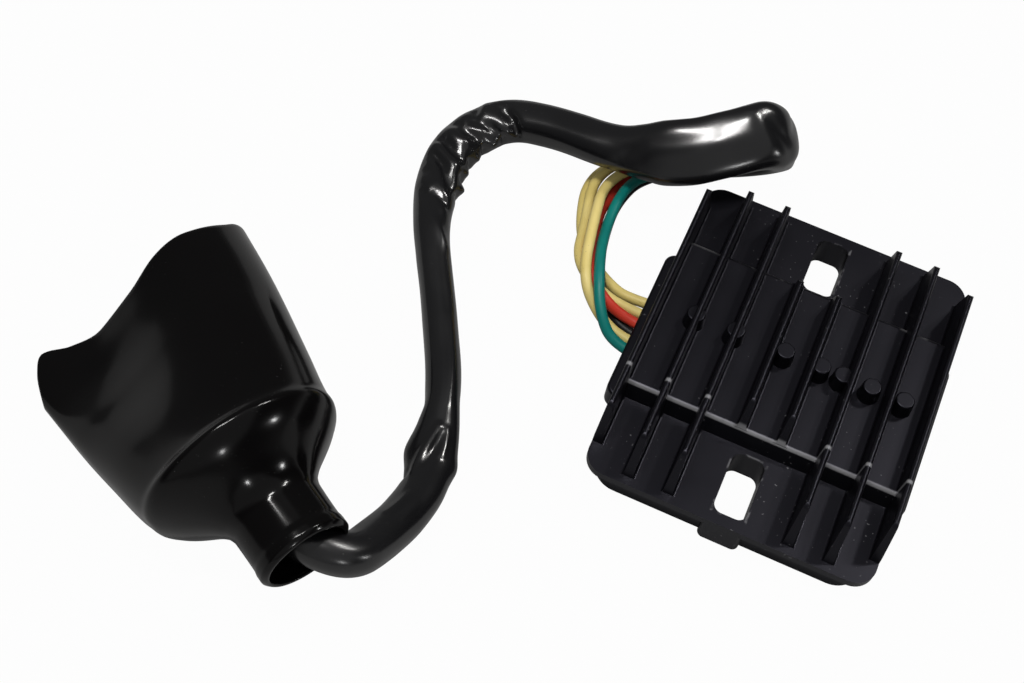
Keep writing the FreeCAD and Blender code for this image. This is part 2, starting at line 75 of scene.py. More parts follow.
class Wire:
    def __init__(self, shader, socket):
        self.shader = shader
        self.socket = socket

    def sum(self, operation, *others):
        return self.shader.add("ShaderNodeMath", {"operation": operation}, dict(enumerate(others)))

    def __add__(self, other):
        return self.sum("ADD", self, other)

    def __sub__(self, other):
        return self.sum("SUBTRACT", self, other)

    def __mul__(self, other):
        return self.sum("MULTIPLY", self, other)

    def __radd__(self, other):
        return self.sum("ADD", other, self)

    def __rsub__(self, other):
        return self.sum("SUBTRACT", other, self)

    def __rmul__(self, other):
        return self.sum("MULTIPLY", other, self)

    def __abs__(self):
        return self.sum("ABSOLUTE", self)

    def most(self, other):
        return self.sum("MAXIMUM", self, other)

    def least(self, other):
        return self.sum("MINIMUM", self, other)

    def rise(self, low, high):  # a smooth step from 0 to 1
        settings = {"interpolation_type": "SMOOTHSTEP"}
        sockets = {"Value": self, "From Min": low, "From Max": high}
        return self.shader.add("ShaderNodeMapRange", settings, sockets)

    def near(self, place, whole, fade):  # 1 within whole of the place, 0 past fade
        return 1 - abs(self - place).rise(whole, fade)


class Shader:
    def __init__(self, owner, last="Principled BSDF"):  # owner is a new material's name, or the world
        self.owner = owner if last == "Background" else bpy.data.materials.new(owner)
        self.owner.use_nodes = True
        self.tree = self.owner.node_tree
        self.surface = self.tree.nodes[last]

    def add(self, kind, settings, sockets, output=0):
        node = self.tree.nodes.new(kind)
        for name, value in settings.items():
            setattr(node, name, value)
        for name, value in sockets.items():
            self.feed(node.inputs[name], value)
        return Wire(self, node.outputs[output])

    def feed(self, socket, value):
        if isinstance(value, Wire):
            self.tree.links.new(value.socket, socket)
        else:
            socket.default_value = value

    def finish(self, **values):
        for name, value in values.items():
            self.feed(self.surface.inputs[name.replace("_", " ")], value)
        return self.owner

    def place(self):
        return self.add("ShaderNodeTexCoord", {}, {}, "Object")

    def parts(self, where):
        x = self.add("ShaderNodeSeparateXYZ", {}, {"Vector": where}, "X")
        return x, Wire(self, x.socket.node.outputs["Y"]), Wire(self, x.socket.node.outputs["Z"])

    def rays(self):
        seen = self.add("ShaderNodeLightPath", {}, {}, "Is Camera Ray")
        return [seen] + [Wire(self, seen.socket.node.outputs["Is " + kind + " Ray"])
                         for kind in ("Glossy", "Transmission")]

    def noise(self, where, scale, detail=2.0):
        sockets = {"Vector": where, "Scale": scale, "Detail": detail}
        return self.add("ShaderNodeTexNoise", {}, sockets, "Fac")

    def blend(self, share, first, second):  # sockets 6 and 7 and output 2 are the colours
        return self.add("ShaderNodeMix", {"data_type": "RGBA"}, {0: share, 6: first, 7: second}, 2)

    def bump(self, height, depth):
        return self.add("ShaderNodeBump", {}, {"Height": height, "Distance": depth})


def grey(level):
    return (level, level, level, 1.0)


# Cords: control points in mm, chosen along the solids' routes

# in mm: the ring that the leads form in the sleeve's mouth, their straight run before it and inside it
leadForm = {"diameter": 2.4 * mm, "ring": 2.72, "straight": 5.4, "inside": 3.8, "steps": 14}
# node, angle in the sleeve's mouth, route from the potting to the mouth
leadRoutes = {
    "yellowLead1": ("yellow_lead_1", 185, [
        (-27.6, 6.8, 2.4), (-36.6, 5.9, 1.9), (-41.5, 7.6, 1.2),
        (-48.8, 12.3, 1.2), (-53.8, 19.3, 1.4), (-57.3, 33.5, 1.1)]),
    "yellowLead2": ("yellow_lead_2", 125, [
        (-27.6, 3.2, 2.4), (-35.0, 2.7, 2.8), (-41.8, 2.7, 4.2),
        (-50.6, 8.3, 4.1), (-52.4, 18.5, 3.9), (-55.9, 32.7, 3.2)]),
    "yellowLead3": ("yellow_lead_3", 65, [
        (-27.6, -4.5, 2.5), (-33.8, -4.7, 2.4), (-40.7, -2.6, 3.9),
        (-47.2, 2.2, 8.6), (-50.4, 16.6, 9.3), (-52.8, 31.4, 3.9)]),
    "redLead": ("red_lead", 245, [
        (-27.6, -0.1, 2.7), (-35.3, 0.0, 2.9), (-42.0, 0.9, 6.3),
        (-47.4, 6.7, 7.0), (-49.7, 16.4, 4.5), (-51.4, 28.8, 0.8)]),
    "blackLead": ("black_lead", 305, [
        (-27.6, -2.2, 1.5), (-34.6, -2.3, 1.3), (-41.9, 3.3, 1.2),
        (-45.7, 9.7, 4.4), (-47.8, 19.3, 2.2), (-48.5, 28.3, 2.3)]),
    "greenLead": ("green_lead", 5, [
        (-27.6, -7.3, 2.6), (-35.5, -7.2, 3.0), (-40.6, -3.6, 7.0),
        (-44.6, 4.7, 10.0), (-47.6, 16.6, 6.0), (-48.1, 29.2, 6.3)]),
}
# from the mouth by the casting, over the fold and the crinkled bend, to the end in the boot
sleeveRoute = [
    (-42.0, 42.6, 4.6), (-36.2, 46.6, 4.6), (-28.2, 53.6, 4.6), (-19.6, 53.8, 12.5),
    (-21.0, 46.4, 20.6), (-32.0, 39.4, 19.5), (-42.1, 36.0, 16.6), (-53.8, 34.5, 12.2),
    (-66.5, 35.9, 9.9), (-78.5, 35.4, 7.2), (-85.6, 27.2, 4.8), (-86.6, 16.0, 4.6),
    (-83.4, 4.4, 4.6), (-77.4, -7.6, 4.6), (-70.8, -19.6, 4.6), (-65.0, -31.0, 4.6),
    (-61.2, -42.2, 4.6), (-58.2, -52.6, 4.6), (-57.7, -62.8, 6.6), (-59.4, -72.4, 10.9),
    (-61.8, -80.6, 16.2), (-74.2, -81.6, 18.6), (-85.0, -76.3, 17.5),
]


def makeSpline(name, points, steps, bevel=0.0):
    data = bpy.data.curves.new(name, "CURVE")
    data.dimensions = "3D"
    data.resolution_u = steps
    data.bevel_depth = bevel / mm
    data.bevel_resolution = 5
    data.use_fill_caps = True
    spline = data.splines.new("NURBS")
    spline.points.add(len(points) - 1)
    for point, place in zip(spline.points, points):
        point.co = (place[0] * mm, place[1] * mm, place[2] * mm, 1.0)
        point.radius = mm  # it multiplies the bevel, and bounding boxes grow by it
    spline.order_u = 3
    spline.use_endpoint_u = True
    cord = bpy.data.objects.new(name, data)
    scene.collection.objects.link(cord)
    return cord


def lineOf(points, steps):
    guide = makeSpline("guide", points, steps)
    mesh = bpy.data.meshes.new_from_object(guide)
    line = [v.co.copy() for v in mesh.vertices]
    bpy.data.objects.remove(guide, do_unlink=True)
    bpy.data.meshes.remove(mesh)
    return line


def lengthOf(line):
    return sum((b - a).length for a, b in zip(line, line[1:]))


def mouthPoints(angle):
    centre, inner = Vector(sleeveRoute[0]), Vector(sleeveRoute[1])
    way = (inner - centre).normalized()
    right = way.cross(Vector((0, 0, 1))).normalized()
    lift = right.cross(way)
    turn = math.radians(angle)
    middle = centre + (right * math.cos(turn) + lift * math.sin(turn)) * leadForm["ring"]
    return [tuple(middle - way * leadForm["straight"]), tuple(middle + way * leadForm["inside"])]


def makeLead(name):
    node, angle, points = leadRoutes[name]
    route = points + mouthPoints(angle)
    lead = makeSpline(name, route, leadForm["steps"], leadForm["diameter"] / 2)
    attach(lead, "root")
    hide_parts(node)
    line = lineOf(route, leadForm["steps"])
    lengthOf(line)
    return lead


leads = {name: makeLead(name) for name in leadRoutes}
print("leads made")


# Measured sections and marks, shared by the sleeve and the boot


def smoothStep(low, high, value):
    t = min(1.0, max(0.0, (value - low) / (high - low)))
    return t * t * (3 - 2 * t)


class Profile:  # smooth values between the rows of a table, with no overshoot
    def __init__(self, rows):
        self.at = [row[0] for row in rows]
        self.rows = [row[1:] for row in rows]
        rates = [[(b - a) / (self.at[i + 1] - self.at[i]) for a, b in zip(self.rows[i], self.rows[i + 1])]
                 for i in range(len(rows) - 1)]
        middle = [[2 * a * b / (a + b) if a * b > 0 else 0.0 for a, b in zip(low, high)]
                  for low, high in zip(rates, rates[1:])]
        self.slopes = [rates[0]] + middle + [rates[-1]]

    def __call__(self, value):
        value = min(max(value, self.at[0]), self.at[-1])
        i = min(bisect_right(self.at, value), len(self.at) - 1) - 1
        span = self.at[i + 1] - self.at[i]
        t = (value - self.at[i]) / span
        step = t * t * (3 - 2 * t)
        out, into = t * (1 - t) ** 2 * span, t * t * (t - 1) * span
        return [a + (b - a) * step + out * m + into * n for a, b, m, n in zip(
            self.rows[i], self.rows[i + 1], self.slopes[i], self.slopes[i + 1])]


# how many widths a mark reaches, its depth at its ends, and how much of a half wave its depth follows;
# degrees round start at the left, seen along the piece, and go over the top
marks = {"reach": 3, "endDepth": 0.35, "waveStart": 0.1, "waveShare": 0.8}


def degreesApart(turn, other):
    return (turn - other + 180) % 360 - 180


def creaseDepth(creases, along, turn, perDegree):
    depth, reach, ends = 0.0, marks["reach"], marks["endDepth"]
    for a0, r0, a1, r1, deep, wide in creases:
        if along < min(a0, a1) - reach * wide or along > max(a0, a1) + reach * wide:
            continue
        x, y = along - a0, (degreesApart(turn, (r0 + r1) / 2) - (r0 - r1) / 2) * perDegree
        dx, dy = a1 - a0, (r1 - r0) * perDegree
        t = min(1.0, max(0.0, (x * dx + y * dy) / (dx * dx + dy * dy)))
        gap = ((x - dx * t) ** 2 + (y - dy * t) ** 2) / wide ** 2
        if gap < reach ** 2:
            wave = math.sin(math.pi * (marks["waveStart"] + marks["waveShare"] * t))
            depth += deep * math.exp(-gap) * (ends + (1 - ends) * wave)
    return depth


def lumpHeight(lumps, along, turn):
    high = 0.0
    for at, middle, tall, long, wide in lumps:
        if abs(along - at) < marks["reach"] * long:
            off = degreesApart(turn, middle)
            high += tall * math.exp(-((along - at) / long) ** 2 - (off / wide) ** 2)
    return high


def wobbleAt(piece, along, across, rise):
    lengthwise, crosswise = piece["wobbleScale"]
    spot = Vector((along * lengthwise, across * crosswise, rise * crosswise))
    return piece["wobble"] * noise.noise(spot)


# Sleeve: a soft tube, flattened in the fold and crinkled at the bend

sleeve = {
    "diameter": 9.0 * mm, "wall": 0.5, "mouthDeep": 5.0, "lowest": 0.05 * mm,
    # steps in each run of its spline, points round it, gap between its rings, mm round it for each degree
    "steps": 24, "round": 96, "gap": 0.42 * mm, "perDegree": 0.079,
    # height in mm, and how fast it varies along and round
    "wobble": 0.10, "wobbleScale": (0.11, 1.4),
    # the direction of its width in the fold, and the stretch over which that turns level
    "foldSide": (0.513, -0.684, -0.520), "foldEnds": (58.0, 92.0),
    # distance from the mouth, sideways shift, half width and half thickness in mm, squareness
    "sections": Profile([
        (0, 0.0, 4.5, 4.4, 0.0), (8, 0.0, 4.9, 4.1, 0.1), (20, 0.0, 6.3, 3.7, 0.3),
        (32, -0.6, 7.0, 4.3, 0.3), (40, -1.4, 7.3, 4.1, 0.3), (48, -0.5, 7.3, 3.7, 0.3),
        (56, 0.6, 7.3, 3.6, 0.3), (61, 0.7, 7.2, 3.7, 0.3), (66, 0.6, 6.2, 3.8, 0.3),
        (72, 0.3, 5.1, 4.0, 0.25), (80, 0.0, 4.8, 4.2, 0.2), (92, 0.0, 4.7, 4.2, 0.2),
        (104, -0.2, 5.2, 4.4, 0.1), (114, -0.3, 5.3, 4.5, 0.1), (124, -0.1, 5.0, 4.4, 0.1),
        (134, -0.2, 4.1, 4.1, 0.15), (142, -0.1, 3.75, 4.0, 0.2), (152, 0.3, 3.65, 4.0, 0.25),
        (165, 0.5, 3.7, 4.0, 0.25), (177, 0.9, 3.7, 4.1, 0.25), (184, 0.9, 4.3, 3.9, 0.2),
        (191, 0.6, 5.0, 3.5, 0.15), (198, 0.9, 4.6, 3.8, 0.1), (206, 0.4, 4.6, 4.1, 0.1),
        (218, 0.0, 4.5, 4.3, 0.1), (235, 0.0, 4.1, 4.1, 0.0), (262, 0.0, 4.0, 4.0, 0.0),
    ]),
    # from distance and degrees round, to distance and degrees round, depth (a ridge is below 0), width
    "creases": [
        (43, 92, 64, 88, -0.45, 1.3), (44, 150, 60, 150, -0.3, 1.2), (40, 125, 36, 60, 0.7, 1.2),
        (31, 140, 35, 90, 0.5, 1.2), (28, 60, 34, 30, 0.5, 1.2), (66, 95, 70, 60, 0.25, 1.4),
        (99.6, 104, 97.0, 50, 1.5, 1.5), (97.0, 50, 95.5, 5, 1.2, 1.3), (102.4, 135, 103.2, 105, -0.4, 1.0),
        (104.2, 138, 106.0, 105, 0.8, 1.2), (107.0, 100, 102.5, 40, 1.0, 1.3),
        (109.8, 138, 109.4, 105, 0.8, 1.2), (110.4, 95, 108.2, 40, 0.8, 1.2),
        (114.0, 138, 114.8, 118, 0.7, 1.1), (114.6, 118, 117.2, 60, 1.0, 1.2),
        (118.4, 130, 121.0, 86, 1.2, 1.2), (121.0, 86, 126.6, 50, 1.0, 1.1),
        (121.5, 142, 124.0, 115, 0.6, 1.3), (127.0, 138, 131.5, 95, 0.5, 1.2),
        (128.5, 95, 131.5, 45, 0.6, 1.1), (135.0, 92, 142.5, 46, -0.45, 1.3),
        (108.5, 20, 108.5, -25, 1.0, 0.9), (115.5, 25, 115.5, -25, 0.9, 0.8),
        (121.2, 25, 121.2, -25, 1.0, 0.8), (126.5, 25, 126.5, -20, 0.6, 0.9),
        (101.0, 20, 101.0, -20, 0.7, 1.0),
        (160, 62, 180, 66, -0.2, 1.0), (186.0, 88, 197.5, 130, -0.55, 0.9), (186.5, 66, 192.0, 66, -0.4, 0.8),
        (187.5, 77, 195.0, 100, 0.35, 0.9), (197.5, 150, 199.5, 205, 0.7, 1.1),
        (204, 100, 212, 110, -0.3, 0.9), (206, 70, 211, 75, -0.25, 0.8),
    ],
    # distance, degrees round, height (a dent is below 0), reach along, reach round in degrees
    "lumps": [
        (38, 165, 0.5, 4, 30), (105, 8, 0.9, 1.3, 16), (112, 5, 0.7, 1.2, 14), (118.5, 8, 0.6, 1.1, 14),
        (123.8, 2, 1.1, 1.3, 16), (107.5, 115, 0.4, 2, 22), (112, 110, 0.4, 2, 22), (117, 130, 0.4, 2, 22),
        (119.5, 60, 0.4, 2, 20), (105.5, 75, 0.5, 1.6, 22), (112.5, 75, 0.5, 1.5, 25),
        (190.5, 185, 0.7, 4.5, 30), (193, 0, 0.6, 2.2, 25), (180, 175, -0.5, 3, 30),
    ],
}


def evenLine(points, steps, gap):
    line = lineOf(points, steps)
    even, left = [line[0]], gap
    for a, b in zip(line, line[1:]):
        span = (b - a).length
        while left <= span:
            even.append(a.lerp(b, left / span))
            left += gap
        left -= span
    return even


def sleeveSides(line, gap):
    foldSide = Vector(sleeve["foldSide"])
    sides = []
    for i in range(len(line)):
        before, after = line[max(i - 1, 0)], line[min(i + 1, len(line) - 1)]
        way = (after - before).normalized()
        level = Vector((0, 0, 1)).cross(way).normalized()
        side = foldSide.lerp(level, smoothStep(*sleeve["foldEnds"], i * gap / mm))
        side = (side - way * side.dot(way)).normalized()
        sides.append((side, way.cross(side)))
    return sides


def tubePoint(centre, sideAndLift, distance, angle, inset):
    side, lift = sideAndLift
    shift, half, thick, square = sleeve["sections"](distance)
    c, s = math.cos(angle), math.sin(angle)
    power = 2.0 + 2.0 * square  # 2 is an ellipse
    reach = (abs(c) ** power + abs(s) ** power) ** (-1.0 / power)
    x, y = (half - inset) * c * reach, (thick - inset) * s * reach
    turn = math.degrees(angle)
    swell = lumpHeight(sleeve["lumps"], distance, turn) + wobbleAt(sleeve, distance, c, s)
    swell -= creaseDepth(sleeve["creases"], distance, turn, sleeve["perDegree"])
    scale = 1.0 + swell / math.hypot(x, y)
    spot = centre + (side * (x * scale + shift) + lift * (y * scale)) * mm
    spot.z = max(spot.z, sleeve["lowest"])  # it rests on the ground
    return spot


def meshOf(name, rings, closed):
    mesh = bmesh.new()
    made = [[mesh.verts.new(place) for place in ring] for ring in rings]
    count = len(made[0])
    for a, b in zip(made, made[1:] + (made[:1] if closed else [])):
        for k in range(count):
            mesh.faces.new((a[k], a[(k + 1) % count], b[(k + 1) % count], b[k]))
    if not closed:
        mesh.faces.new(made[0][::-1])
        mesh.faces.new(made[-1])
    bmesh.ops.recalc_face_normals(mesh, faces=mesh.faces)
    if mesh.calc_volume(signed=True) < 0:
        bmesh.ops.reverse_faces(mesh, faces=mesh.faces)
    data = bpy.data.meshes.new(name)
    mesh.to_mesh(data)
    mesh.free()
    for face in data.polygons:
        face.use_smooth = True
    piece = bpy.data.objects.new(name, data)
    scene.collection.objects.link(piece)
    return piece


def makeSleeve():
    gap, count, wall = sleeve["gap"], sleeve["round"], sleeve["wall"]
    line = evenLine(sleeveRoute, sleeve["steps"], gap)
    sides = sleeveSides(line, gap)
    distances = [i * gap / mm for i in range(len(line))]
    turns = [2 * math.pi * k / count for k in range(count)]
    deep, last = int(sleeve["mouthDeep"] * mm / gap), len(line) - 1
    # place on the line and inset: out of the first mouth, along the outside, into the last
    plan = [(i, wall) for i in range(deep, -1, -1)] + [(i, 0.0) for i in range(last + 1)]
    plan += [(i, wall) for i in range(last, last - deep, -1)]
    rings = [[tubePoint(line[i], sides[i], distances[i], turn, inset) for turn in turns] for i, inset in plan]
    path = [centre + side[0] * (sleeve["sections"](distance)[0] * mm)
            for centre, side, distance in zip(line, sides, distances)]
    return meshOf("sleeve", rings, False), path


sleeveTube, sleevePath = makeSleeve()
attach(sleeveTube, "root")
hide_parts("wire_sleeve")


# Boot: a dip-moulded cover, from the neck (along 0) to the open mouth

boot = {
    "x": -68.3, "y": -84.2, "heading": 150.0, "wall": 1.0,
    # points round it, rings outside and inside, and how much they crowd towards the neck
    "round": 160, "steps": 130, "innerSteps": 60, "crowding": 1.25,
    "perDegree": 0.35, "wobble": 0.16, "wobbleScale": (0.075, 1.7),
    # across or up, as shares of the half width or height: where it droops, and where it swells
    "droops": (-0.45, 0.75), "swells": (-0.6, 0.0),
    # along, middle, half width, lowest, height, left droop, flat bottom
    "sections": Profile([
        (-0.2, 0.0, 8.9, 10.8, 17.6, 0.0, 0.0), (0.5, 0.0, 9.4, 10.3, 18.6, 0.0, 0.0),
        (1.8, 0.0, 9.4, 10.2, 18.7, 0.0, 0.0), (3.2, 0.0, 9.2, 10.3, 18.4, 0.0, 0.0),
        (9.5, 0.0, 9.3, 10.2, 18.6, 0.0, 0.0), (11.4, 0.0, 9.8, 9.7, 19.6, 0.0, 0.0),
        (13.2, 0.0, 11.2, 8.3, 22.4, 0.0, 0.0), (19.0, -0.1, 18.3, 0.9, 36.9, 0.0, 0.0),
        (20.6, -0.1, 19.8, 0.1, 38.9, 0.0, 0.05), (22.0, -0.1, 20.3, 0.0, 39.5, 0.0, 0.1),
        (24.0, -0.1, 20.6, 0.0, 39.0, 0.05, 0.2), (34.0, -0.6, 22.1, 0.0, 38.0, 0.2, 0.4),
        (46.0, -1.4, 23.7, 0.0, 37.0, 0.42, 0.5), (57.0, -2.1, 24.8, 0.0, 36.0, 0.58, 0.6),
        (72.0, -2.6, 26.2, 0.0, 35.0, 0.66, 0.6),
    ]),
    # across (left is +), how far the mouth's rim reaches, measured on the section at rimAt
    "rim": Profile([(-30.0, 66.0), (-26.0, 65.7), (-22.0, 64.4), (-17.0, 64.0), (-11.0, 63.5), (-6.0, 63.0),
                    (0.0, 61.9), (7.0, 62.1), (13.0, 65.2), (18.0, 68.1), (20.5, 65.2), (24.0, 56.0)]),
    "rimAt": 60.0,
    # extra reach in mm and inset as a share of the wall, round the edges of the mouth and the neck
    "mouthEdge": [(0.3, 0.2), (0.42, 0.5), (0.3, 0.8)], "neckEdge": [(-0.25, 0.75), (-0.25, 0.3)],
    # in the same form as the sleeve's
    "creases": [(52, 66, 32, 52, 0.3, 5.5), (21.6, 0, 21.6, 200, -0.25, 1.2), (60, 60, 56, 90, -0.35, 4.0)],
}


def bootPoint(along, angle, inset):
    middle, half, lowest, height, droop, flat = boot["sections"](along)
    across, rise = math.cos(angle), math.sin(angle)
    if rise < 0:
        rise = -abs(rise) ** (1 - 0.5 * flat)
    tall = (height - 2 * inset) * (1 - droop * smoothStep(*boot["droops"], across))
    swell = wobbleAt(boot, along, across, rise)
    swell -= creaseDepth(boot["creases"], along, math.degrees(angle), boot["perDegree"])
    swell *= smoothStep(*boot["swells"], rise)
    return Vector((along, middle + (half - inset + swell) * across,
                   lowest + inset + tall * (1 + rise) / 2 + swell * max(rise, 0.0)))


def bootToRow(point):
    turn = math.radians(boot["heading"])
    x = boot["x"] + point.x * math.cos(turn) - point.y * math.sin(turn)
    y = boot["y"] + point.x * math.sin(turn) + point.y * math.cos(turn)
    return Vector((x, y, point.z)) * mm


def makeBoot():
    start = boot["sections"].at[0]
    middle, half = boot["sections"](boot["rimAt"])[:2]
    turns = [2 * math.pi * k / boot["round"] for k in range(boot["round"])]
    reaches = [boot["rim"](middle + half * math.cos(turn))[0] for turn in turns]
    wall, steps, inner, crowding = boot["wall"], boot["steps"], boot["innerSteps"], boot["crowding"]
    # share of the way to the rim, extra reach, inset
    plan = [((i / steps) ** crowding, 0.0, 0.0) for i in range(steps + 1)]
    plan += [(1.0, extra, wall * share) for extra, share in boot["mouthEdge"]]
    plan += [((i / inner) ** crowding, 0.0, wall) for i in range(inner, -1, -1)]
    plan += [(0.0, extra, wall * share) for extra, share in boot["neckEdge"]]
    rings = [[bootToRow(bootPoint(start + (reach - start) * share + extra, turn, inset))
              for turn, reach in zip(turns, reaches)] for share, extra, inset in plan]
    return meshOf("bootCover", rings, True)


bootCover = makeBoot()
terminals = ["terminal_" + str(i) for i in range(1, 7)]
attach(bootCover, "root")
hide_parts("connector_boot")
lengthOf(sleevePath)
print("sleeve and boot made, sleeve length mm", round(lengthOf(sleevePath) / mm, 1))


# Casting: a satin coat with dust in patches and wear to bare aluminium on some edges, and a painted highlight
# along the near lip of the raised middle

castingLook = {
    "coat": (0.0022, 0.0021, 0.0030, 1.0), "tint": (0.83, 0.82, 1.0, 1.0),
    "rough": 0.34, "roughSpread": 0.16, "specular": 0.28, "patchScale": 55.0,
    "dust": (0.22, 0.22, 0.23, 1.0), "dustShare": 0.5, "flakeScale": 1500.0, "flakes": (0.73, 0.78),
    "patches": (0.42, 0.62), "lipHighlightPatches": (0.3, 0.5),
    "bareMetalAndHighlight": (0.30, 0.30, 0.31, 1.0), "bareMetalAndHighlightShare": 0.55, "rimShare": 0.5, "stepShare": 0.3,
    "rimScale": 420.0, "rimWorn": (0.52, 0.66), "stepScale": 300.0, "stepWorn": (0.5, 0.66),
    # half a slot's size, the slots' middles, how far out a slot's rim is worn, and the heights there
    "slotHalf": (3.5 * mm, 7.15 * mm), "slotAt": 29.325 * mm, "rimOut": 0.1 * mm,
    "rimBand": (0.1 * mm, 0.4 * mm), "rimFrom": (7.2 * mm, 7.7 * mm), "rimTo": (7.9 * mm, 8.1 * mm),
    # the lip of the raised middle: half its length, its height, and how far the wear and the painted
    # highlight on its near side spread
    "lipAt": 19.1 * mm, "lipHigh": 11.9 * mm, "lipHighlightFrom": (11.2 * mm, 11.6 * mm),
    "lipBand": (0.2 * mm, 0.6 * mm), "stepBand": (0.2 * mm, 0.8 * mm),
}


def castingCoat():
    s, look = Shader("castingCoat"), castingLook
    where = s.place()
    x, y, z = s.parts(where)
    patchy = s.noise(where, look["patchScale"], 3.0)
    flakes = s.noise(where, look["flakeScale"], 1.0).rise(*look["flakes"])
    dusty = flakes * patchy.rise(*look["patches"]) * look["dustShare"]
    halfX, halfY = look["slotHalf"]
    outside = (abs(x) - halfX).most(abs(abs(y) - look["slotAt"]) - halfY)
    slotRim = outside.near(look["rimOut"], *look["rimBand"]) * z.rise(*look["rimFrom"])
    slotRim = slotRim * (1 - z.rise(*look["rimTo"])) * s.noise(where, look["rimScale"]).rise(*look["rimWorn"])
    step = abs(y).near(look["lipAt"], *look["stepBand"]) * z.near(look["lipHigh"], *look["lipBand"])
    step = step * s.noise(where, look["stepScale"]).rise(*look["stepWorn"])
    # a continuous painted highlight along the near lip only, in the pale tone of the bare casting, standing
    # in for the lamps' reflection on its rounded edge
    nearLipHighlight = y.near(-look["lipAt"], *look["lipBand"]) * z.rise(*look["lipHighlightFrom"])
    nearLipHighlight = nearLipHighlight * patchy.rise(*look["lipHighlightPatches"])
    # real wear on the slot rims and both step lips, plus the painted highlight on the near lip
    wearAndHighlight = (slotRim * look["rimShare"] + step * look["stepShare"] + nearLipHighlight).least(1.0)
    tone = s.blend(dusty, look["coat"], look["dust"])
    tone = s.blend(wearAndHighlight * look["bareMetalAndHighlightShare"], tone, look["bareMetalAndHighlight"])
    return s.finish(
        Base_Color=tone, Roughness=look["rough"] + (patchy - 0.5) * look["roughSpread"],
        Specular_IOR_Level=look["specular"], Specular_Tint=look["tint"])


# Soft vinyl of the sleeve and the boot, with a haze and dust in it

vinylLook = {
    "hazeScale": 38.0, "haze": (0.35, 0.75), "hazeRough": 0.10, "rippleScale": 95.0, "ripple": 0.08 * mm,
    "dustScale": 2400.0, "dust": (0.76, 0.8), "dustyHaze": (0.5, 0.7), "dustShare": 0.35, "dustTone": 0.2,
}
sleeveLook = {"colour": (0.0048, 0.0048, 0.0054, 1.0), "rough": 0.17, "specular": 0.75}
bootLook = {"colour": (0.0018, 0.0016, 0.0017, 1.0), "rough": 0.085, "specular": 0.26}


def vinyl(name, colour, rough, specular):
    s, look = Shader(name), vinylLook
    where = s.place()
    haze = s.noise(where, look["hazeScale"], 3.0)
    ripple = s.noise(where, look["rippleScale"], 1.0)
    dust = s.noise(where, look["dustScale"], 1.0).rise(*look["dust"]) * haze.rise(*look["dustyHaze"])
    return s.finish(
        Base_Color=s.blend(dust * look["dustShare"], colour, grey(look["dustTone"])),
        Roughness=rough + haze.rise(*look["haze"]) * look["hazeRough"],
        Specular_IOR_Level=specular, Normal=s.bump(ripple, look["ripple"]))


# Insulation of the leads: two tones in a cloud, with small specks

leadLook = {
    "yellow": ((0.60, 0.48, 0.15, 1.0), (0.66, 0.54, 0.20, 1.0)),
    "red": ((0.50, 0.035, 0.02, 1.0), (0.56, 0.05, 0.03, 1.0)),
    "green": ((0.001, 0.14, 0.122, 1.0), (0.002, 0.17, 0.148, 1.0)),
    "black": ((0.006, 0.006, 0.006, 1.0), (0.01, 0.01, 0.01, 1.0)),
}
leadGrain = {
    "cloudScale": 120.0, "cloud": (0.3, 0.7), "speckScale": 1900.0, "specks": (0.74, 0.78),
    "speck": (0.12, 0.1, 0.07, 1.0), "speckShare": 0.4, "rough": 0.34, "roughScale": 300.0,
    "roughSpread": 0.12, "specular": 0.25, "grainScale": 700.0, "grain": 0.03 * mm,
}


def leadSkin(name):
    s, look = Shader(name + "Insulation"), leadGrain
    where = s.place()
    tone = s.blend(s.noise(where, look["cloudScale"], 3.0).rise(*look["cloud"]), *leadLook[name])
    specks = s.noise(where, look["speckScale"], 1.0).rise(*look["specks"])
    return s.finish(
        Base_Color=s.blend(specks * look["speckShare"], tone, look["speck"]),
        Roughness=look["rough"] + s.noise(where, look["roughScale"]) * look["roughSpread"],
        Specular_IOR_Level=look["specular"], Normal=s.bump(s.noise(where, look["grainScale"]), look["grain"]))


# Inner pieces: name, two tones, roughness and what else differs, then the nodes that have it

plainLook = {"cloudShare": 0.3, "cloud": (0.35, 0.65), "roughSpread": 0.14, "grainShare": 2}
packages = [kind + str(i) for kind in ("thyristor_", "rectifier_diode_") for i in range(1, 4)]
resistors = ["gate_resistor_" + str(i) for i in range(1, 4)]
plainFinishes = [
    ("potting", grey(0.012), grey(0.02), 0.3, {"scale": 180.0, "depth": 0.15 * mm}, ["potting_compound"]),
    ("padSheet", grey(0.45), grey(0.55), 0.7, {}, ["thermal_pad"]),
    ("boardMask", (0.02, 0.13, 0.05, 1), (0.03, 0.17, 0.07, 1), 0.35, {}, ["circuit_board"]),
    ("packageEpoxy", grey(0.018), grey(0.026), 0.6, {}, packages + ["zener_diode", "control_transistor"]),
    ("resistorLacquer", (0.42, 0.3, 0.16, 1), (0.5, 0.36, 0.2, 1), 0.4, {}, resistors + ["sense_resistor"]),
    ("capacitorDip", (0.3, 0.05, 0.02, 1), (0.38, 0.07, 0.03, 1), 0.25, {}, ["film_capacitor"]),
    ("tinned", grey(0.6), grey(0.68), 0.3, {"metallic": 1.0}, ["soldered_conductors"]),
    ("plugNylon", (0.62, 0.6, 0.54, 1), (0.68, 0.66, 0.6, 1), 0.45, {}, ["connector_housing"]),
    ("stampedBrass", (0.7, 0.5, 0.22, 1), (0.78, 0.58, 0.28, 1), 0.28, {"metallic": 1.0}, terminals),
]


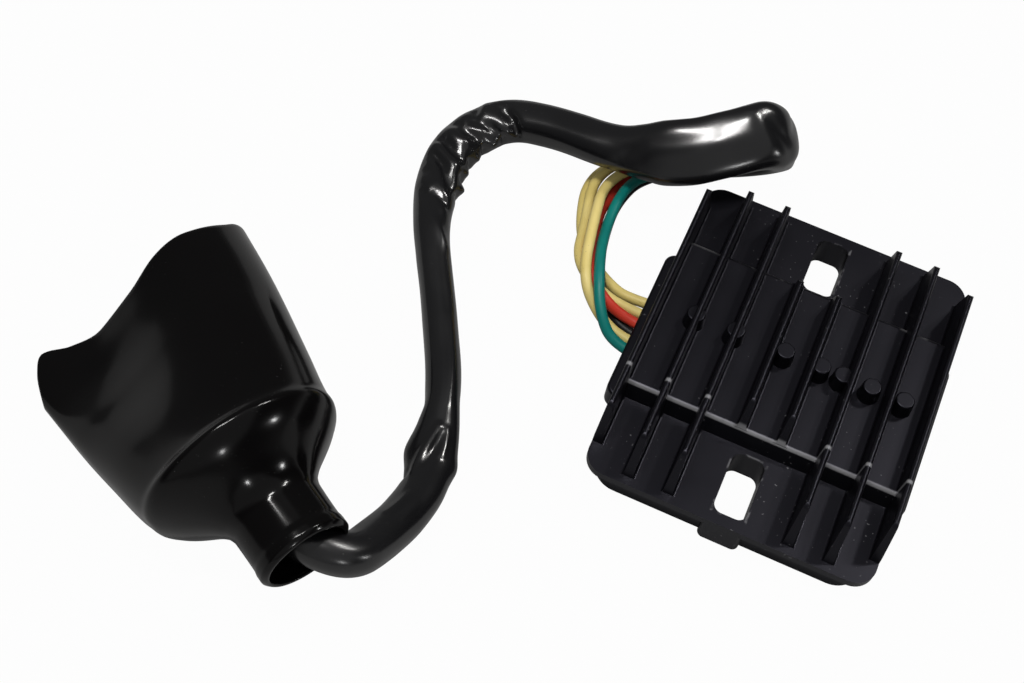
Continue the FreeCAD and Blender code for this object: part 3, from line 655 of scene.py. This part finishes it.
def plainSkin(name, low, high, rough, metallic=0.0, scale=400.0, depth=0.03 * mm):
    s, look = Shader(name), plainLook
    where = s.place()
    cloud = s.noise(where, scale * look["cloudShare"], 3.0).rise(*look["cloud"])
    return s.finish(
        Base_Color=s.blend(cloud, low, high), Metallic=metallic,
        Roughness=rough + (s.noise(where, scale) - 0.5) * look["roughSpread"],
        Normal=s.bump(s.noise(where, scale * look["grainShare"]), depth))


def paint(piece, material):
    piece.data.materials.clear()
    piece.data.materials.append(material)


def paintNode(node, material):
    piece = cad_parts[node]
    if not piece.material_slots:
        piece.data.materials.append(material)
    for slot in piece.material_slots:
        slot.material = material


skins = {name: leadSkin(name) for name in leadLook}
for name, lead in leads.items():
    paint(lead, skins[name.split("Lead")[0]])
paint(sleeveTube, vinyl("sleeveVinyl", **sleeveLook))
paint(bootCover, vinyl("bootVinyl", **bootLook))
paintNode("heatsink_casting", castingCoat())
paintNode("lead_ends", skins["yellow"])
for name, low, high, rough, others, nodes in plainFinishes:
    skin = plainSkin(name, low, high, rough, **others)
    for node in nodes:
        paintNode(node, skin)
print("materials made")


# Floor, background and lamps

studio = {
    "floor": 0.26, "floorRough": 0.9, "floorSize": 6.0, "floorDrop": 0.2 * mm, "floorWhite": 0.975,
    "mirrored": 0.05, "ambient": 0.5,
    # what is reflected: a dark room with a brighter side, a lit strip overhead and a pale horizon
    "dark": 0.02,
    "side": {"aim": (-0.7, 0.35, 0.35), "from": (-0.3, 1.1), "level": 0.10},
    "strip": {"aim": (0.0, -0.5, 0.87), "from": (0.44, 0.56), "across": (-0.35, 0.0), "level": 0.25},
    "horizon": {"from": (0.0, 0.18), "level": 0.12},
    # name, place, aim, size, power, colour
    "lamps": [
        ("tubeA", (-0.36, -0.11, 1.25), (-0.03, 0.0, 0.0), (0.10, 0.28), 4.9, (1.0, 0.985, 0.97)),
        ("tubeB", (-0.06, -0.05, 1.26), (-0.03, 0.0, 0.0), (0.10, 0.28), 4.9, (1.0, 0.985, 0.97)),
        ("tubeC", (0.40, 0.60, 1.10), (-0.03, 0.0, 0.0), (0.045, 0.12), 1.9, (1.0, 0.985, 0.96)),
        ("tubeD", (0.55, 0.62, 1.04), (-0.03, 0.0, 0.0), (0.045, 0.12), 1.9, (1.0, 0.985, 0.96)),
        ("lowRight", (1.10, 0.05, 0.33), (-0.08, -0.06, 0.0), (0.045, 0.06), 1.0, (1.0, 1.0, 1.0)),
        ("lowFront", (0.83, -0.92, 0.42), (-0.08, -0.06, 0.0), (0.045, 0.06), 1.0, (1.0, 1.0, 1.0)),
    ],
}


def makeFloor():
    mesh = bmesh.new()
    bmesh.ops.create_grid(mesh, x_segments=2, y_segments=2, size=studio["floorSize"] / 2)
    data = bpy.data.meshes.new("floor")
    mesh.to_mesh(data)
    mesh.free()
    floor = bpy.data.objects.new("floor", data)
    floor.location.z = -studio["floorDrop"]
    scene.collection.objects.link(floor)
    s = Shader("floorWhite")
    s.finish(Base_Color=grey(studio["floor"]), Roughness=studio["floorRough"], Specular_IOR_Level=0.0)
    seen, glossy, clear = s.rays()
    glow = s.add("ShaderNodeEmission", {}, {"Color": grey(1.0), "Strength": 1.0})
    shown = (seen * studio["floorWhite"]).most(glossy * studio["mirrored"]).most(clear)
    surface = Wire(s, s.surface.outputs[0])
    mixed = s.add("ShaderNodeMixShader", {}, {0: shown, 1: surface, 2: glow})
    s.tree.links.new(mixed.socket, s.tree.nodes["Material Output"].inputs["Surface"])
    paint(floor, s.owner)


def makeWorld():
    scene.world = bpy.data.worlds.new("studio")
    s = Shader(scene.world, "Background")
    x, y, z = s.parts(s.add("ShaderNodeTexCoord", {}, {}, "Generated"))
    seen, glossy, clear = s.rays()
    side, strip, horizon = studio["side"], studio["strip"], studio["horizon"]

    def towards(aim):
        return x * aim[0] + y * aim[1] + z * aim[2]

    room = towards(side["aim"]).rise(*side["from"]) * side["level"] + studio["dark"]
    overhead = towards(strip["aim"]).rise(*strip["from"]) * x.rise(*strip["across"])
    room = room + overhead * strip["level"]
    room = room.most((1 - z.rise(*horizon["from"])) * horizon["level"])
    lit = glossy * room + (1 - glossy) * studio["ambient"]
    shown = seen.most(clear)
    s.finish(Color=grey(1.0), Strength=shown + (1 - shown) * lit)


def makeLamps():
    for name, place, aim, size, power, colour in studio["lamps"]:
        data = bpy.data.lights.new(name, "AREA")
        data.shape = "RECTANGLE"
        data.size, data.size_y = size
        data.energy = power
        data.color = colour
        lamp = bpy.data.objects.new(name, data)
        lamp.location = place
        lamp.rotation_euler = (Vector(aim) - Vector(place)).to_track_quat("-Z", "Y").to_euler()
        scene.collection.objects.link(lamp)


makeFloor()
makeWorld()
makeLamps()
print("studio made")

bpy.context.view_layer.update()
